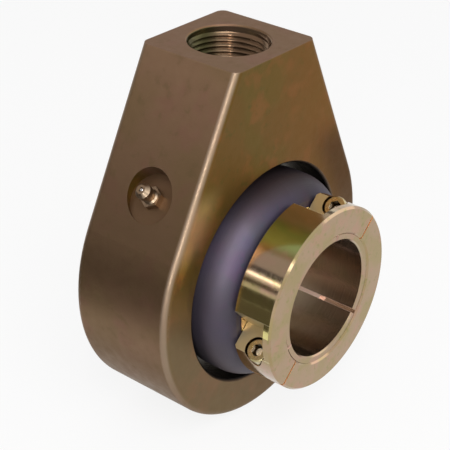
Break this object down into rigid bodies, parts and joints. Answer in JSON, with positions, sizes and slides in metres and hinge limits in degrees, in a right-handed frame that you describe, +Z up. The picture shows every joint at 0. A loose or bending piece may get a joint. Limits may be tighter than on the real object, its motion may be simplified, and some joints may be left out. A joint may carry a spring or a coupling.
{
  "type": "hanger bearing",
  "caption": "Self-aligning ball bearing in a tapered block that hangs from a threaded pipe, with a domed shield and a split clamp collar round the shaft.",
  "frame": {"origin": "centre of the spherical seat, on the shaft's axis, midway through the block", "axes": "+Z up along the pipe's axis, shaft along Y with the clamp collar on the -Y side, grease fitting towards -X"},
  "size_m": [0.131, 0.0795, 0.163],
  "materials": {
    "cast_housing": "cast iron, machined, yellow-zinc plated with a brown and olive tint",
    "pin_steel": "ground steel dowel",
    "bearing_steel": "ground bearing steel",
    "zinc_ring": "ground steel with a thin yellow-zinc tint",
    "cage_plastic": "moulded glass-filled nylon",
    "seal_rubber": "moulded nitrile rubber bonded to a steel washer",
    "violet_shield": "formed steel with a dark violet-grey conversion coat, semi-gloss",
    "zinc_shield": "pressed steel, zinc plated",
    "gold_collar": "turned steel, yellow-zinc plated, pale gold face and olive rim",
    "plated_screw": "alloy steel, yellow-zinc plated",
    "zinc_fitting": "zinc-plated steel",
    "ball_steel": "polished bearing steel",
    "spring_steel": "spring steel wire"
  },
  "bodies": {
    "housing": {"housing": "cast_housing", "grease_fitting_body": "zinc_fitting", "grease_check_spring": "spring_steel"},
    "alignment_pin": {"alignment_pin": "pin_steel"},
    "outer_race": {"outer_ring": "bearing_steel", "front_seal": "seal_rubber", "back_seal": "seal_rubber"},
    "inner_race": {"inner_ring": "zinc_ring", "front_flinger": "violet_shield", "back_flinger": "zinc_shield", "collar_upper_half": "gold_collar", "collar_lower_half": "gold_collar", "clamp_screw_left": "plated_screw", "clamp_screw_right": "plated_screw"},
    "ball_cage": {"cage": "cage_plastic"},
    "grease_check_ball": {"grease_check_ball": "ball_steel"},
    "ball_01": {"ball_01": "ball_steel"},
    "ball_02": {"ball_02": "ball_steel"},
    "ball_03": {"ball_03": "ball_steel"},
    "ball_04": {"ball_04": "ball_steel"},
    "ball_05": {"ball_05": "ball_steel"},
    "ball_06": {"ball_06": "ball_steel"},
    "ball_07": {"ball_07": "ball_steel"},
    "ball_08": {"ball_08": "ball_steel"},
    "ball_09": {"ball_09": "ball_steel"},
    "ball_10": {"ball_10": "ball_steel"}
  },
  "joints": [
    {"name": "align_yaw", "type": "hinge", "parent": "housing", "child": "alignment_pin", "pos_m": [0, 0, 0], "axis": [0, 0, 1], "range_deg": [-2, 2]},
    {"name": "align_pitch", "type": "hinge", "parent": "alignment_pin", "child": "outer_race", "pos_m": [0, 0, 0], "axis": [1, 0, 0], "range_deg": [-2, 2]},
    {"name": "shaft_spin", "type": "hinge", "parent": "outer_race", "child": "inner_race", "pos_m": [0, 0, 0], "axis": [0, 1, 0], "continuous": true},
    {"name": "cage_orbit", "type": "hinge", "parent": "outer_race", "child": "ball_cage", "pos_m": [0, 0, 0], "axis": [0, 1, 0], "continuous": true},
    {"name": "ball_01_spin", "type": "hinge", "parent": "ball_cage", "child": "ball_01", "pos_m": [0, 0, 0.03875], "axis": [0, 1, 0], "continuous": true},
    {"name": "ball_02_spin", "type": "hinge", "parent": "ball_cage", "child": "ball_02", "pos_m": [-0.02278, 0, 0.03135], "axis": [0, 1, 0], "continuous": true},
    {"name": "ball_03_spin", "type": "hinge", "parent": "ball_cage", "child": "ball_03", "pos_m": [-0.03685, 0, 0.01197], "axis": [0, 1, 0], "continuous": true},
    {"name": "ball_04_spin", "type": "hinge", "parent": "ball_cage", "child": "ball_04", "pos_m": [-0.03685, 0, -0.01197], "axis": [0, 1, 0], "continuous": true},
    {"name": "ball_05_spin", "type": "hinge", "parent": "ball_cage", "child": "ball_05", "pos_m": [-0.02278, 0, -0.03135], "axis": [0, 1, 0], "continuous": true},
    {"name": "ball_06_spin", "type": "hinge", "parent": "ball_cage", "child": "ball_06", "pos_m": [0, 0, -0.03875], "axis": [0, 1, 0], "continuous": true},
    {"name": "ball_07_spin", "type": "hinge", "parent": "ball_cage", "child": "ball_07", "pos_m": [0.02278, 0, -0.03135], "axis": [0, 1, 0], "continuous": true},
    {"name": "ball_08_spin", "type": "hinge", "parent": "ball_cage", "child": "ball_08", "pos_m": [0.03685, 0, -0.01197], "axis": [0, 1, 0], "continuous": true},
    {"name": "ball_09_spin", "type": "hinge", "parent": "ball_cage", "child": "ball_09", "pos_m": [0.03685, 0, 0.01197], "axis": [0, 1, 0], "continuous": true},
    {"name": "ball_10_spin", "type": "hinge", "parent": "ball_cage", "child": "ball_10", "pos_m": [0.02278, 0, 0.03135], "axis": [0, 1, 0], "continuous": true},
    {"name": "grease_check", "type": "slide", "parent": "housing", "child": "grease_check_ball", "axis": [0.7133, 0, -0.7009], "range_m": [0, 0.0006], "stiffness_N_per_m": 200, "deforming": ["grease_check_spring"]}
  ],
  "couplings": [
    {"joint": "cage_orbit", "follows": "shaft_spin", "ratio": 0.40782},
    {"joint": "ball_01_spin", "follows": "shaft_spin", "ratio": -2.6199},
    {"joint": "ball_02_spin", "follows": "shaft_spin", "ratio": -2.6199},
    {"joint": "ball_03_spin", "follows": "shaft_spin", "ratio": -2.6199},
    {"joint": "ball_04_spin", "follows": "shaft_spin", "ratio": -2.6199},
    {"joint": "ball_05_spin", "follows": "shaft_spin", "ratio": -2.6199},
    {"joint": "ball_06_spin", "follows": "shaft_spin", "ratio": -2.6199},
    {"joint": "ball_07_spin", "follows": "shaft_spin", "ratio": -2.6199},
    {"joint": "ball_08_spin", "follows": "shaft_spin", "ratio": -2.6199},
    {"joint": "ball_09_spin", "follows": "shaft_spin", "ratio": -2.6199},
    {"joint": "ball_10_spin", "follows": "shaft_spin", "ratio": -2.6199}
  ]
}
